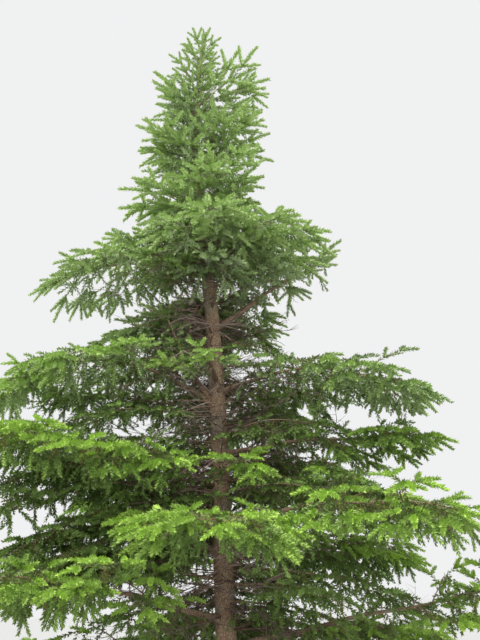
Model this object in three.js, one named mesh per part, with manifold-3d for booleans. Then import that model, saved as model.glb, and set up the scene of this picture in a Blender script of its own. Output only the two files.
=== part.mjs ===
// A spruce tree of about 7.4 m, in millimetres, +Z up, rooted at the origin.
// The photograph looks along +Y: front is -Y and right is +X.
// Headings are degrees in plan, anticlockwise from +X, so 270 points at the camera.

import * as THREE from "three";
import { mergeVertices } from "three/addons/utils/BufferGeometryUtils.js";
import Module from "manifold-3d";

const wasm = await Module();
wasm.setup();

// Trunk sizes
const TREE_HEIGHT = 7400;
const STEM_RADIUS = 84;
const STEM_TIP_RADIUS = 4;
const STEM_TAPER_POWER = 2.2;
const FLARE_RADIUS = 46;
const FLARE_HEIGHT = 170;
const FLUTES = 5;
const FLUTE_SHARE = 0.13;
const FLUTE_HEIGHT = 300;
const FLUTE_TURN = 0.8;
const SWEEP = 150;
const SWEEP_HEIGHT = 5900;
const SWEEP_SPREAD_BELOW = 1600;
const SWEEP_SPREAD_ABOVE = 1160;
const WAVER = 22;
const WAVER_LENGTH = 3300;
const TRUNK_SIDES = 12;
const TRUNK_RINGS = 16;
const RING_CROWDING = 1.55;

// Bough sizes
const BOUGH_SIDES = 6;
const BOUGH_RINGS = 4;
const BOUGH_TIP_SHARE = 0.5;
const BOUGH_SEAT = 90;
const SLOPE_STEP = 5;

// Clearance between solids that touch on the real tree
const CLEARANCE = 0.42;
const WELD_DISTANCE = 0.001;

// Shape of a mass: one lumpy, fan-shaped body that hangs below its limb
const MASS_MERIDIANS = 15;
const MASS_LEVELS = 6;
const LUMP_SHARE = 0.13;
const RIPPLE_SHARE = 0.09;
const FAN_NARROWING = 0.34;
const SIDE_DROOP = 0.1;
const TIP_RAGGEDNESS = 0.06;
const MASS_START = 0.02;
const SEED = 20117;

const BARK = { color: "#6d5a50", roughness: 0.95, metalness: 0 };
const NEEDLES = { color: "#5f8a35", roughness: 0.85, metalness: 0 };

// Every tier of boughs: the height where it leaves the trunk, its reach from the trunk's
// axis, how it rises and sags over that reach, the radius at its root, the bare share of it,
// and the width and the thickness over and under the limb of the foliage that it carries.
const TIERS = [
  {
    name: "skirt", height: 1180, reach: 2350, rise: 0.14, sag: 0.16,
    radius: 27, bare: 0.34, width: 1850, over: 120, under: 330,
    boughs: [
      { side: "right", heading: 342, rise: 0.2, sag: 0.04, bare: 0.6, width: 1150, under: 240 },
      { side: "back_right", heading: 32 },
      { side: "back", heading: 94, height: 1260 },
      { side: "back_left", heading: 158, height: 1130 },
      { side: "front_left", heading: 222, height: 1370, reach: 2150, rise: 0.3, sag: 0.12, under: 260 },
    ],
  },
  {
    name: "lower", height: 2050, reach: 2200, rise: 0.15, sag: 0.25,
    radius: 26, bare: 0.32, width: 1750, over: 110, under: 350,
    boughs: [
      {
        side: "front", heading: 269, height: 1990, reach: 1960,
        rise: 0.16, sag: 0.22, width: 1450, under: 310,
      },
      { side: "front_right", heading: 316, reach: 2200, rise: 0.2, bare: 0.42, width: 1550, under: 320 },
      { side: "back_right", heading: 38, height: 1960 },
      { side: "back", heading: 103 },
      { side: "left", heading: 172, height: 1900, reach: 2050 },
    ],
  },
  {
    name: "middle", height: 2660, reach: 2020, rise: 0.12, sag: 0.26,
    radius: 24, bare: 0.3, width: 1650, over: 100, under: 330,
    boughs: [
      { side: "front", heading: 288, height: 2500, reach: 960, bare: 0.42, width: 520, under: 150 },
      {
        side: "right", heading: 346, height: 2650, reach: 1930,
        sag: 0.14, bare: 0.42, under: 220, width: 1300,
      },
      { side: "back_right", heading: 55 },
      { side: "back_left", heading: 128, height: 2590 },
      {
        side: "front_left", heading: 218, height: 2400, reach: 2160,
        rise: 0.2, sag: 0.08, bare: 0.22, width: 1700,
      },
    ],
  },
  {
    name: "breast", height: 3250, reach: 1880, rise: 0.3, sag: 0.42,
    radius: 23, bare: 0.28, width: 1500, over: 110, under: 360,
    boughs: [
      {
        side: "front", heading: 264, height: 3280, reach: 820,
        rise: 0.42, bare: 0.4, width: 500, under: 130,
      },
      { side: "front_right", heading: 332, height: 3180, reach: 1950, sag: 0.5, bare: 0.32 },
      { side: "back", heading: 72, height: 3330, width: 1750 },
      {
        side: "left", heading: 195, height: 3050, reach: 1980,
        rise: 0.8, sag: 0.8, radius: 30, bare: 0.22,
      },
    ],
  },
  {
    name: "upper", height: 3950, reach: 1600, rise: 0.4, sag: 0.46,
    radius: 21, bare: 0.24, width: 1250, over: 110, under: 360,
    boughs: [
      {
        side: "right", heading: 22, height: 3780, reach: 1480,
        rise: 0.85, sag: 0.12, radius: 31, bare: 0.5, width: 820,
      },
      { side: "left", heading: 188, height: 4330, reach: 1600, rise: 0.38, sag: 0.5 },
    ],
  },
];

// Foliage that closes round the trunk in the upper crown, with its boughs inside it
const CROWN = [
  {
    name: "upper", height: 4080, reach: 1500, rise: 0.42, sag: 0.5,
    width: 1300, over: 110, under: 330,
    masses: [
      { side: "back", heading: 88 },
      { side: "back_left", heading: 138, height: 3860, width: 1100 },
    ],
  },
  {
    name: "high", height: 4540, reach: 1260, rise: 0.45, sag: 0.42,
    width: 1050, over: 120, under: 330,
    masses: [
      { side: "front", heading: 272, height: 4480, reach: 1060, rise: 0.42, under: 400 },
      { side: "right", heading: 338, height: 4440 },
      { side: "back_right", heading: 44, height: 4740 },
      { side: "back_left", heading: 146, height: 4660 },
    ],
  },
  {
    name: "neck", height: 5120, reach: 960, rise: 0.5, sag: 0.35,
    width: 880, over: 130, under: 350,
    masses: [
      { side: "front_right", heading: 298, height: 5010, reach: 880 },
      { side: "left", heading: 206, height: 4950, reach: 800 },
      { side: "back", heading: 84, height: 5240 },
    ],
  },
  {
    name: "head", height: 5740, reach: 760, rise: 0.5, sag: 0.3,
    width: 780, over: 130, under: 350,
    masses: [
      { side: "left", heading: 216, height: 5620, reach: 600 },
      { side: "right", heading: 336, height: 5680, reach: 780 },
      { side: "back", heading: 98, height: 5830 },
    ],
  },
  {
    name: "top", height: 6300, reach: 620, rise: 0.6, sag: 0.2,
    width: 640, over: 120, under: 300,
    masses: [
      { side: "left", heading: 204, height: 6260, reach: 480 },
      { side: "right", heading: 352, height: 6300, reach: 790, rise: 0.5 },
      { side: "back", heading: 96, height: 6360, reach: 580 },
    ],
  },
];
const LEADER = { height: 6960, radius: 290, over: 400, under: 430, narrowing: 0.55, lobes: 5 };

const radians = THREE.MathUtils.degToRad;

// Repeatable random numbers between 0 and 1
function randomFrom(seed) {
  let state = seed >>> 0;
  return () => {
    state = (state + 0x6d2b79f5) >>> 0;
    let t = Math.imul(state ^ (state >>> 15), 1 | state);
    t = (t + Math.imul(t ^ (t >>> 7), 61 | t)) ^ t;
    return ((t ^ (t >>> 14)) >>> 0) / 4294967296;
  };
}

// The trunk's centre line: upright below, swept to the left in the upper half
function trunkAxis(height) {
  const spread = height < SWEEP_HEIGHT ? SWEEP_SPREAD_BELOW : SWEEP_SPREAD_ABOVE;
  const sweep = SWEEP * Math.exp(-(((height - SWEEP_HEIGHT) / spread) ** 2));
  const waver = WAVER * Math.sin((2 * Math.PI * height) / WAVER_LENGTH);
  const settled = Math.min(1, height / TREE_HEIGHT) * (1 - height / TREE_HEIGHT) * 4;
  return new THREE.Vector3(-sweep, waver * settled, height);
}

function stemRadius(height) {
  const share = Math.min(1, height / TREE_HEIGHT);
  return STEM_RADIUS * (1 - share ** STEM_TAPER_POWER) + STEM_TIP_RADIUS * share;
}

// A geometry with shared vertices
function weld(geometry) {
  const bare = geometry.clone();
  bare.deleteAttribute("normal");
  bare.deleteAttribute("uv");
  return mergeVertices(bare, WELD_DISTANCE);
}

// A geometry as one solid, with no collapsed triangles
function solid(geometry) {
  const welded = weld(geometry);
  const corners = welded.index.array;
  const kept = [];
  for (let i = 0; i < corners.length; i += 3) {
    const [a, b, c] = [corners[i], corners[i + 1], corners[i + 2]];
    if (a !== b && b !== c && c !== a) kept.push(a, b, c);
  }
  return new wasm.Manifold(
    new wasm.Mesh({
      numProp: 3,
      vertProperties: new Float32Array(welded.attributes.position.array),
      triVerts: new Uint32Array(kept),
    }),
  );
}

function geometryOf(body) {
  const mesh = body.getMesh();
  const geometry = new THREE.BufferGeometry();
  geometry.setAttribute("position", new THREE.BufferAttribute(mesh.vertProperties, 3));
  geometry.setIndex(new THREE.BufferAttribute(mesh.triVerts, 1));
  return geometry;
}

// The same shape with every face moved out by the clearance, for cutting its neighbours
function grown(geometry) {
  const welded = weld(geometry);
  welded.computeVertexNormals();
  const place = welded.attributes.position;
  const normal = welded.attributes.normal;
  for (let i = 0; i < place.count; i += 1) {
    place.setXYZ(
      i,
      place.getX(i) + normal.getX(i) * CLEARANCE,
      place.getY(i) + normal.getY(i) * CLEARANCE,
      place.getZ(i) + normal.getZ(i) * CLEARANCE,
    );
  }
  return solid(welded);
}

// A turned shape: a lathe whose ring at each height is moved onto the trunk's centre line
function trunkGeometry() {
  const profile = [new THREE.Vector2(0, 0)];
  for (let ring = 0; ring <= TRUNK_RINGS; ring += 1) {
    const height = TREE_HEIGHT * (ring / TRUNK_RINGS) ** RING_CROWDING;
    const flare = FLARE_RADIUS * Math.exp(-height / FLARE_HEIGHT);
    profile.push(new THREE.Vector2(stemRadius(height) + flare, height));
  }
  profile.push(new THREE.Vector2(0, TREE_HEIGHT));
  const lathe = new THREE.LatheGeometry(profile, TRUNK_SIDES);
  lathe.rotateX(Math.PI / 2);
  const place = lathe.attributes.position;
  for (let i = 0; i < place.count; i += 1) {
    const height = place.getZ(i);
    const around = Math.atan2(place.getY(i), place.getX(i));
    const fade = Math.exp(-height / FLUTE_HEIGHT);
    const flute = 1 + FLUTE_SHARE * fade * Math.cos(FLUTES * around + FLUTE_TURN);
    const axis = trunkAxis(height);
    place.setXY(i, axis.x + place.getX(i) * flute, axis.y + place.getY(i) * flute);
  }
  return lathe;
}

// The centre line of a bough, as a function of the distance from the trunk's axis
function boughLine(bough) {
  const root = trunkAxis(bough.height);
  const turn = radians(bough.heading);
  return (distance) => {
    const share = distance / bough.reach;
    const lift = bough.reach * (bough.rise * share - bough.sag * share * share);
    return new THREE.Vector3(
      root.x + distance * Math.cos(turn),
      root.y + distance * Math.sin(turn),
      bough.height + lift,
    );
  };
}

// A tapering limb from inside the trunk to its end just within its mass
function boughGeometry(bough) {
  const line = boughLine(bough);
  const end = bough.reach * bough.bare + BOUGH_SEAT;
  const profile = [new THREE.Vector2(0, 0)];
  for (let ring = 0; ring <= BOUGH_RINGS; ring += 1) {
    const share = ring / BOUGH_RINGS;
    const radius = bough.radius * (1 - (1 - BOUGH_TIP_SHARE) * share);
    profile.push(new THREE.Vector2(radius, end * share));
  }
  profile.push(new THREE.Vector2(0, end));
  const lathe = new THREE.LatheGeometry(profile, BOUGH_SIDES);
  const place = lathe.attributes.position;
  const turn = radians(bough.heading);
  const side = new THREE.Vector3(Math.sin(turn), -Math.cos(turn), 0);
  for (let i = 0; i < place.count; i += 1) {
    const along = place.getY(i);
    const centre = line(along);
    const ahead = line(along + SLOPE_STEP).sub(line(along - SLOPE_STEP)).normalize();
    const up = new THREE.Vector3().crossVectors(side, ahead).normalize();
    const point = centre
      .addScaledVector(side, place.getX(i))
      .addScaledVector(up, place.getZ(i));
    place.setXYZ(i, point.x, point.y, point.z);
  }
  return lathe;
}

// A lumpy body: narrow where its limb enters, broad further out, hanging below its line
function massGeometry(mass, random) {
  const line = boughLine(mass);
  const start = mass.reach * (mass.bare ?? MASS_START);
  const length = mass.reach - start;
  const turn = radians(mass.heading);
  const side = new THREE.Vector3(-Math.sin(turn), Math.cos(turn), 0);
  const phases = [random(), random(), random(), random()].map((part) => part * 2 * Math.PI);
  const ball = new THREE.SphereGeometry(1, MASS_MERIDIANS, MASS_LEVELS).rotateX(Math.PI / 2);
  const place = ball.attributes.position;
  for (let i = 0; i < place.count; i += 1) {
    const [x, y, z] = [place.getX(i), place.getY(i), place.getZ(i)];
    const around = Math.atan2(y, x);
    const edge = Math.hypot(x, y);
    const lumps = 1 + edge * (LUMP_SHARE * Math.sin(3 * around + phases[0])
      + RIPPLE_SHARE * Math.sin(5 * around + phases[1]));
    const fan = 1 - FAN_NARROWING * (1 - x) * 0.5;
    const tip = 1 - TIP_RAGGEDNESS + TIP_RAGGEDNESS * lumps;
    const along = start + length * Math.min(1, 0.5 * (1 + x * tip));
    const across = 0.5 * mass.width * y * fan * lumps;
    const thick = z > 0 ? mass.over : mass.under;
    const wave = Math.sin(4 * x + phases[2]) * Math.sin(3 * y + phases[3]);
    const hang = 1 + 2 * RIPPLE_SHARE * wave;
    const droop = SIDE_DROOP * mass.width * ((2 * across) / mass.width) ** 2;
    const point = line(along).addScaledVector(side, across);
    place.setXYZ(i, point.x, point.y, point.z + thick * z * hang - droop);
  }
  return ball;
}

// The topmost mass, standing round the leading shoot and pointed above
function leaderGeometry(random) {
  const ball = new THREE.SphereGeometry(1, MASS_MERIDIANS, MASS_LEVELS).rotateX(Math.PI / 2);
  const place = ball.attributes.position;
  const phases = [random(), random()].map((part) => part * 2 * Math.PI);
  for (let i = 0; i < place.count; i += 1) {
    const [x, y, z] = [place.getX(i), place.getY(i), place.getZ(i)];
    const around = Math.atan2(y, x);
    const wave = Math.sin(LEADER.lobes * around + phases[0]) * Math.sin(2 * z + phases[1]);
    const lumps = 1 + 2 * LUMP_SHARE * wave;
    const height = LEADER.height + z * (z > 0 ? LEADER.over : LEADER.under);
    const narrowing = z > 0 ? 1 - LEADER.narrowing * z : 1;
    const axis = trunkAxis(height);
    const radius = LEADER.radius * lumps * narrowing;
    place.setXYZ(i, axis.x + x * radius, axis.y + y * radius, height);
  }
  return ball;
}

const bark = () => new THREE.MeshStandardMaterial(BARK);
const needles = () => new THREE.MeshStandardMaterial(NEEDLES);

const tree = new THREE.Group();
const random = randomFrom(SEED);

function addNode(name, body, material) {
  const mesh = new THREE.Mesh(geometryOf(body), material);
  mesh.name = name;
  tree.add(mesh);
}

// The main part of a cut body, without the crumbs that a cut can leave beside it
function mainPart(body) {
  const parts = body.decompose();
  return parts.reduce((main, part) => (part.volume() > main.volume() ? part : main));
}

// Trunk, whole from the cut at the ground to its tip
const trunk = trunkGeometry();
const trunkRoom = grown(trunk);
addNode("trunk", solid(trunk), bark());

// Boughs, each from the trunk's bark into its own mass
const rooms = [trunkRoom];
for (const tier of TIERS) {
  for (const own of tier.boughs) {
    const limb = boughGeometry({ ...tier, ...own });
    addNode(`bough_${tier.name}_${own.side}`, solid(limb).subtract(trunkRoom), bark());
    rooms.push(grown(limb));
  }
}

// Masses of foliage, each cut round the trunk, the boughs and the masses made before it
function addMass(name, geometry) {
  const body = rooms.reduce((rest, room) => rest.subtract(room), solid(geometry));
  addNode(name, mainPart(body), needles());
  rooms.push(grown(geometry));
}
for (const tier of [...TIERS, ...CROWN]) {
  for (const own of tier.boughs ?? tier.masses) {
    addMass(`foliage_${tier.name}_${own.side}`, massGeometry({ ...tier, ...own }, random));
  }
}
addMass("foliage_leader", leaderGeometry(random));

export default tree;
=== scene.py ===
"""Spruce tree: bark, limbs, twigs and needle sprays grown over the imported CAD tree."""

import math

import bmesh
import bpy
import numpy as np
from mathutils import Matrix, Vector, noise


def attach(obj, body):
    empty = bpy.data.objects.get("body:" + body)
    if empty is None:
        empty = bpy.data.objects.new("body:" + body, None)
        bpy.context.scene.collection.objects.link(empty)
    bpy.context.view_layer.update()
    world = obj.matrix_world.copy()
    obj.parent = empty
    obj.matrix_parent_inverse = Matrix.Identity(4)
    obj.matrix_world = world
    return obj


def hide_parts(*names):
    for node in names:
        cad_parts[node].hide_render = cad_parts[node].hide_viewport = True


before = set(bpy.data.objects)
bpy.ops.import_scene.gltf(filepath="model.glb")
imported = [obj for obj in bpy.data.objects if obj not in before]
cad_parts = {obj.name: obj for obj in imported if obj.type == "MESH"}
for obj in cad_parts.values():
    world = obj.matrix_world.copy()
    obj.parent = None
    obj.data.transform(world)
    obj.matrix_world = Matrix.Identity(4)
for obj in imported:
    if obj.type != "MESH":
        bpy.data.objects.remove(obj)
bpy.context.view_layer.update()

bl_info = {
    "name": "Spruce tree",
    "version": (1, 0, 0),
    "blender": (4, 5, 0),
    "location": "3D View > Sidebar > Spruce",
    "description": "Grows a young spruce with bark, limbs, twigs and needle sprays",
    "category": "Add Mesh",
}

# Sizes of the tree, in metres, as the CAD has them

TREE_HEIGHT = 7.4
STEM_RADIUS = 0.084
STEM_TOP_RADIUS = 0.004
STEM_TAPER = 2.2
FLARE = 0.046
FLARE_HEIGHT = 0.17
FLUTES = 5
FLUTE_DEPTH = 0.13
FLUTE_HEIGHT = 0.3
FLUTE_TURN = 0.8
BOW = 0.15
BOW_HEIGHT = 5.9
BOW_BELOW = 1.6
BOW_ABOVE = 1.16
SWAY = 0.088
SWAY_LENGTH = 3.3
SIDE_DROOP = 0.1
FAN_NARROWING = 0.34

# What a tier's boughs share, in metres; rise, sag, bare and vigour are shares, and tone is in shades
# of painted light and shade, -1 a step lighter and 1 a step darker

TIER_SIZES = {
    "skirt": dict(
        height=1.18, reach=2.35, rise=0.14, sag=0.16, radius=0.027, bare=0.34,
        width=1.85, under=0.33, vigour=1.05,
    ),
    "lower": dict(
        height=2.05, reach=2.2, rise=0.15, sag=0.25, radius=0.026, bare=0.32,
        width=1.75, under=0.35, vigour=1.1,
    ),
    "middle": dict(
        height=2.66, reach=2.02, rise=0.12, sag=0.26, radius=0.024, bare=0.3,
        width=1.65, under=0.33, vigour=1.1,
    ),
    "breast": dict(
        height=3.25, reach=1.88, rise=0.3, sag=0.42, radius=0.023, bare=0.28,
        width=1.5, under=0.36, vigour=1.2,
    ),
    "upper": dict(
        height=3.95, reach=1.6, rise=0.4, sag=0.46, radius=0.021, bare=0.24,
        width=1.25, under=0.36, vigour=1.4,
    ),
    # The crown's tiers have tone -1: shades a step lighter, painted light on foliage seen from below
    "high": dict(
        height=4.54, reach=1.26, rise=0.45, sag=0.42, radius=0.017, bare=0.02,
        width=1.05, under=0.33, vigour=1.7, tone=-1,
    ),
    "neck": dict(
        height=5.12, reach=0.96, rise=0.5, sag=0.35, radius=0.014, bare=0.02,
        width=0.88, under=0.35, vigour=1.8, tone=-1,
    ),
    "head": dict(
        height=5.74, reach=0.76, rise=0.5, sag=0.3, radius=0.011, bare=0.02,
        width=0.78, under=0.35, vigour=1.85, tone=-1,
    ),
    "top": dict(
        height=6.3, reach=0.62, rise=0.6, sag=0.2, radius=0.009, bare=0.02,
        width=0.64, under=0.3, vigour=1.9, tone=-1,
    ),
}

# The live boughs by tier and side, with headings in degrees anticlockwise from +X, seen from above

# Tone 1 deals the right-hand boughs darker shades as painted shade away from the light; tone -1
# deals the breast's front and left lighter ones as painted light
BOUGHS = {
    "skirt": dict(
        right=dict(heading=342, rise=0.2, sag=0.04, bare=0.6, width=1.15, under=0.24),
        back_right=dict(heading=32),
        back=dict(heading=94, height=1.26),
        back_left=dict(heading=158, height=1.13),
        front_left=dict(heading=222, height=1.37, reach=2.15, rise=0.3, sag=0.12, under=0.26),
    ),
    "lower": dict(
        front=dict(
            heading=269, height=1.99, reach=1.96, rise=0.16, sag=0.22, width=1.45,
            under=0.31, tilt=-0.12, close=0.85,
        ),
        front_right=dict(heading=316, rise=0.2, bare=0.42, width=1.55, under=0.32, close=0.72),
        back_right=dict(heading=38, height=1.96),
        back=dict(heading=103),
        left=dict(heading=172, height=1.9, reach=2.05),
    ),
    "middle": dict(
        front=dict(heading=288, height=2.5, reach=0.96, bare=0.42, width=0.52, under=0.15),
        right=dict(
            heading=346, height=2.65, reach=1.93, sag=0.14, bare=0.42, width=1.3,
            under=0.22, tone=1,
        ),
        back_right=dict(heading=55),
        back_left=dict(heading=128, height=2.59),
        front_left=dict(
            heading=218, height=2.4, reach=2.16, rise=0.2, sag=0.08, bare=0.22, width=1.7,
            tilt=-0.1, close=0.85,
        ),
    ),
    "breast": dict(
        front=dict(
            heading=264, height=3.28, reach=0.82, rise=0.42, bare=0.4, width=0.5,
            under=0.13, tone=-1,
        ),
        front_right=dict(heading=332, height=3.18, reach=1.95, sag=0.5, bare=0.32, tone=1),
        back=dict(heading=72, height=3.33, width=1.75),
        left=dict(
            heading=195, height=3.05, reach=1.98, rise=0.8, sag=0.8, radius=0.03, bare=0.22,
            close=0.85, tone=-1,
        ),
    ),
    "upper": dict(
        right=dict(
            heading=22, height=3.78, reach=1.48, rise=0.85, sag=0.12, radius=0.031, bare=0.5,
            width=0.82, tone=1, close=1.4,
        ),
        left=dict(heading=188, height=4.33, rise=0.38, sag=0.5),
        back=dict(
            heading=88, height=4.08, reach=1.5, rise=0.42, sag=0.5, bare=0.02, width=1.3,
            under=0.33,
        ),
        back_left=dict(
            heading=138, height=3.86, reach=1.5, rise=0.42, sag=0.5, bare=0.02, width=1.1,
            under=0.33,
        ),
    ),
    "high": dict(
        front=dict(heading=272, height=4.48, reach=1.06, rise=0.42, under=0.4),
        right=dict(heading=338, height=4.44, close=1.3),
        back_right=dict(heading=44, height=4.74),
        back_left=dict(heading=146, height=4.66),
    ),
    "neck": dict(
        front_right=dict(heading=298, height=5.01, reach=0.88),
        left=dict(heading=206, height=4.95, reach=0.8),
        back=dict(heading=84, height=5.24),
    ),
    "head": dict(
        left=dict(heading=216, height=5.62, reach=0.6),
        right=dict(heading=336, height=5.68, reach=0.78),
        back=dict(heading=98, height=5.83),
    ),
    "top": dict(
        left=dict(heading=204, height=6.26, reach=0.48),
        right=dict(heading=352, reach=0.79, rise=0.5),
        back=dict(heading=96, height=6.36, reach=0.58),
    ),
}

# What a bough has unless it says more: tilt is its slope across, close a share of the usual spacing

PLAIN = dict(side="", dull=False, tone=0, tilt=0.0, close=1.0)

# Pieces are joined by region, a tier each or two of the small ones, to stay under 200,000 triangles

REGIONS = (
    "skirt", "lower", "middle", "breast", "upper", "high", "top", "shade_low", "shade_high",
)
REGION_OF = {"neck": "high", "head": "top"}
LEADER_REGION = "top"

# The rule that the boughs branch by

SEED = 1788
NEW_SEED = SEED + 100
OLD_SEED = SEED + 200
SMALL_SEED = SEED + 300
DEAD_SEED = SEED + 500
LEADER_SEED = SEED + 900
LEAST_BARE = 0.1
WANDER = 0.016
LATERAL_SPACING = 0.165
LATERAL_ANGLE = 64.0
LATERAL_LEAST_ANGLE = 46.0
LATERAL_BEND = 1.3
LATERAL_STEP = 0.07
LATERAL_LAYER = 0.055
LATERAL_LONGEST = 1.6
LATERAL_SHORTEST = 0.35
TWIG_SPACING = 0.086
TWIG_ANGLE = 50.0
END_ANGLE = 42.0
SHOOT_LENGTH = 0.116
SHOOT_SPREAD = (0.82, 1.18)
NEW_SHARE = 1.08
SIDE_SHARE = 0.82
HANG_SPACING = 0.1
HANG_BEND = -0.16
RIM_DROOP = 0.14
MOST_RISE = 0.16
LIMB_TWIG_SPACING = 0.095
TIP_ROOM = 0.15
END_ROOM = 0.06
LOWEST_TWIG = 0.1
SIDE_SIZE = 0.85
END_SIZE = 1.15
BESIDE_SIZE = 0.95
LEADER_SIZE = 1.3

# Radii of limbs and twigs, in metres

LIMB_THIN = 0.0022
LATERAL_THICK = 0.0075
LATERAL_THIN = 0.0016
TWIG_THICK = 0.0014
YEAR_THICK = 0.0005
TWIG_THIN = 0.001
DEAD_THICK = (0.004, 0.0075)
DEAD_SIDE_THICK = 0.0022
DEAD_THIN = 0.0009

# The limbs of a mass in the upper crown: turn in degrees, lift in metres, share of the reach, and
# whether the limb is dull, dealt the inner greens as painted shade

CROWN_LIMBS = (
    (-24, 0.0, 0.92, False), (1, 0.05, 1.0, False), (25, -0.03, 0.9, False),
    (2, -0.24, 0.72, True),
)
CROWN_WIDTH_SHARE = 0.62

# Small dull boughs between the tiers, dealt the inner greens as painted shade, at headings that
# leave the front of the trunk open

SMALL_FROM = 1.0
SMALL_TO = 4.45
SMALL_STEP = 0.1
SMALL_TURN = 137.5
SMALL_CLEAR = (232.0, 308.0)
SMALL_LONGEST = 1.8
SMALL_SHORTER = 1.2
SHORTER_FROM = 3.5
SHADE_LEVEL = 2.2

# Longer dull boughs, dealt the inner greens as painted shade, that close the gaps between the tiers:
# height, heading and reach

GAP_BOUGHS = (
    (3.02, 180, 1.85), (2.96, 207, 1.7), (2.32, 194, 1.95), (2.2, 160, 1.7),
    (2.42, 351, 1.9), (2.34, 328, 1.6), (1.72, 344, 1.8), (1.62, 318, 1.3),
    (1.66, 203, 1.5), (3.42, 350, 1.5), (2.9, 20, 1.7), (2.06, 203, 1.9), (2.0, 217, 1.6),
    (2.74, 188, 1.6), (2.28, 211, 1.95), (2.6, 172, 1.7),
    (2.46, 203, 2.0), (2.3, 206, 2.05), (2.14, 199, 2.0),
)

# The limb that climbs steeply at the left of the trunk, bare for most of its length

STEEP_BOUGH = dict(
    height=3.03, heading=203, reach=0.6, rise=1.2, sag=-0.8, radius=0.026, bare=0.62,
    tier="shade_high",
)

# The top of the tree: whorls by height, count and years, and fives of shoots by height and years

LEADER_WHORLS = ((6.52, 8, 3), (6.72, 7, 3), (6.92, 7, 2), (7.1, 6, 2))
LEADER_SHOOTS = ((7.24, 1), (6.8, 1), (7.0, 1), (6.6, 2), (6.42, 2), (6.3, 2))
STEM_TWIG_HEIGHTS = (4.7, 6.45, 0.065)
STEM_NEEDLE_HEIGHTS = (6.5, 7.3, 0.1)
TIP_FROM = 7.28
TIP_TO = 7.375

# Whorls of dead branches round the trunk, and the regions that they are joined to

DEAD_FROM = 0.62
DEAD_TO = 4.6
DEAD_WHORL_GAPS = (0.24, 0.32)
DEAD_STRAYS = 8
DEAD_SHORTEST = 0.4
DEAD_LONGEST = 1.15
DEAD_LONGEST_HIGH = 0.8
DEAD_HIGH_FROM = 3.6
DEAD_REGIONS = ((2.2, "skirt"), (DEAD_HIGH_FROM, "middle"), (TREE_HEIGHT, "upper"))
DEAD_PIECES = (1, 3, 6)

# Kinds of needles and twigs, and the shades that each is dealt, darker as painted shade further
# inside

NEW = "new_shoots"
OLD = "green_needles"
LIVE = "live_twigs"
DEAD = "dead_twigs"
# Shade 0 is the brightest and 4 the darkest: the darker greens for middle, hanging and inner twigs
# are painted shade, and for the older needles also their own darker green with age
NEW_SHADES = {
    "rim": (0, 0, 1, 1), "middle": (1, 1, 2, 2), "hanging": (1, 2, 3, 3), "inner": (3, 4, 4),
}
OLD_SHADES = {
    "rim": (0, 1, 1, 2), "middle": (0, 1, 2, 2), "hanging": (2, 3, 3), "inner": (2, 3, 3, 4),
}
FULLNESS = {"rim": 1.0, "middle": 0.95, "hanging": 0.75, "inner": 0.5}
LIMB_FULLNESS = 0.8
LAST_SHADE = 4
# A shoot pointing down more steeply than this is dealt a shade darker: painted shade on its
# underside
HANGING_SLOPE = -0.35
# Breast and crown needles are paled towards this green by a share of their level: painted glare haze
HAZE_GREEN = (0.5, 0.6, 0.37)
PAINTED_HAZE = {"low": 0.0, "breast": 0.27, "crown": 0.47}
LEVEL_OF = {"breast": "breast", "upper": "crown", "high": "crown", "top": "crown"}
YOUNG_TWIG = 0
OLD_TWIG = 1
DEAD_SHADES = (0, 1, 1, 2)

# The shape of a needle: where it is broadest, how deep its crease is, and how they all differ

LEAST_NEEDLES = 5
BROADEST = 0.42
CREASE = 0.5
OFF_TWIG = 0.0012
TURN_SPREAD = 0.16
LEAN_SPREAD = 4
TIP_LEAN = 18
ROLL_SPREAD = 0.35

# Meshes of the trunk and the limbs

TRUNK_SIDES = 56
TRUNK_RINGS = 540
RELIEF_RADIUS = 0.06
LIMB_RING_GAP = 0.032
LIMB_FLAKE = 0.014
LIMB_LUMPS = 0.14
LIMB_RELIEF = 0.1

# The camera's turn, tilt and roll in degrees and its lens in millimetres, and the overhead light

CAMERA_TURN = (2.35, 22.5, 2.85)
LENS = 36.45
SENSOR = 36.0
LIGHT_WAY = (-0.38, -0.55, 1.1)
LIGHT_DISTANCE = 12.0
LIGHT_SPREAD = 60.0
LIGHT_STRENGTH = 3.7

UP = np.array((0.0, 0.0, 1.0))
GOLDEN_ANGLE = math.pi * (3.0 - math.sqrt(5.0))


def trunk_axis(height):
    """The middle of the trunk at a height, bowed as the CAD has it."""
    spread = BOW_BELOW if height < BOW_HEIGHT else BOW_ABOVE
    bow = -BOW * math.exp(-(((height - BOW_HEIGHT) / spread) ** 2))
    share = height / TREE_HEIGHT
    sway = SWAY * math.sin(2 * math.pi * height / SWAY_LENGTH) * share * (1 - share)
    return np.array((bow, sway, height))


def stem_radius(height):
    """The trunk's radius at a height, with the flare of its foot."""
    share = height / TREE_HEIGHT
    body = STEM_RADIUS * (1 - share**STEM_TAPER) + STEM_TOP_RADIUS * share
    return body + FLARE * math.exp(-height / FLARE_HEIGHT)


def unit(way):
    return way / math.sqrt(float(way @ way))


def outward(turn, slope):
    """The direction away from the trunk at a turn in radians, at a slope."""
    return unit(np.array((math.cos(turn), math.sin(turn), slope)))


def leaning(way, degrees, rise):
    """A direction turned about the vertical and then raised."""
    turn = math.radians(degrees)
    across = np.array((-way[1], way[0], 0.0))
    level = np.array((way[0], way[1], 0.0))
    return unit(level * math.cos(turn) + across * math.sin(turn) + UP * way[2] + UP * rise)


def bough_sizes():
    """Every live bough, with its tier's sizes and its own; a crown mass holds four."""
    for tier, boughs in BOUGHS.items():
        for side, own in boughs.items():
            sizes = {**PLAIN, **TIER_SIZES[tier], **own, "tier": tier, "side": side}
            if sizes["bare"] > LEAST_BARE:
                yield sizes
                continue
            for turn, lift, share, dull in CROWN_LIMBS:
                yield {
                    **sizes,
                    "heading": sizes["heading"] + turn,
                    "height": sizes["height"] + lift,
                    "reach": sizes["reach"] * share,
                    "width": sizes["width"] * CROWN_WIDTH_SHARE,
                    "dull": dull,
                }


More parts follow.
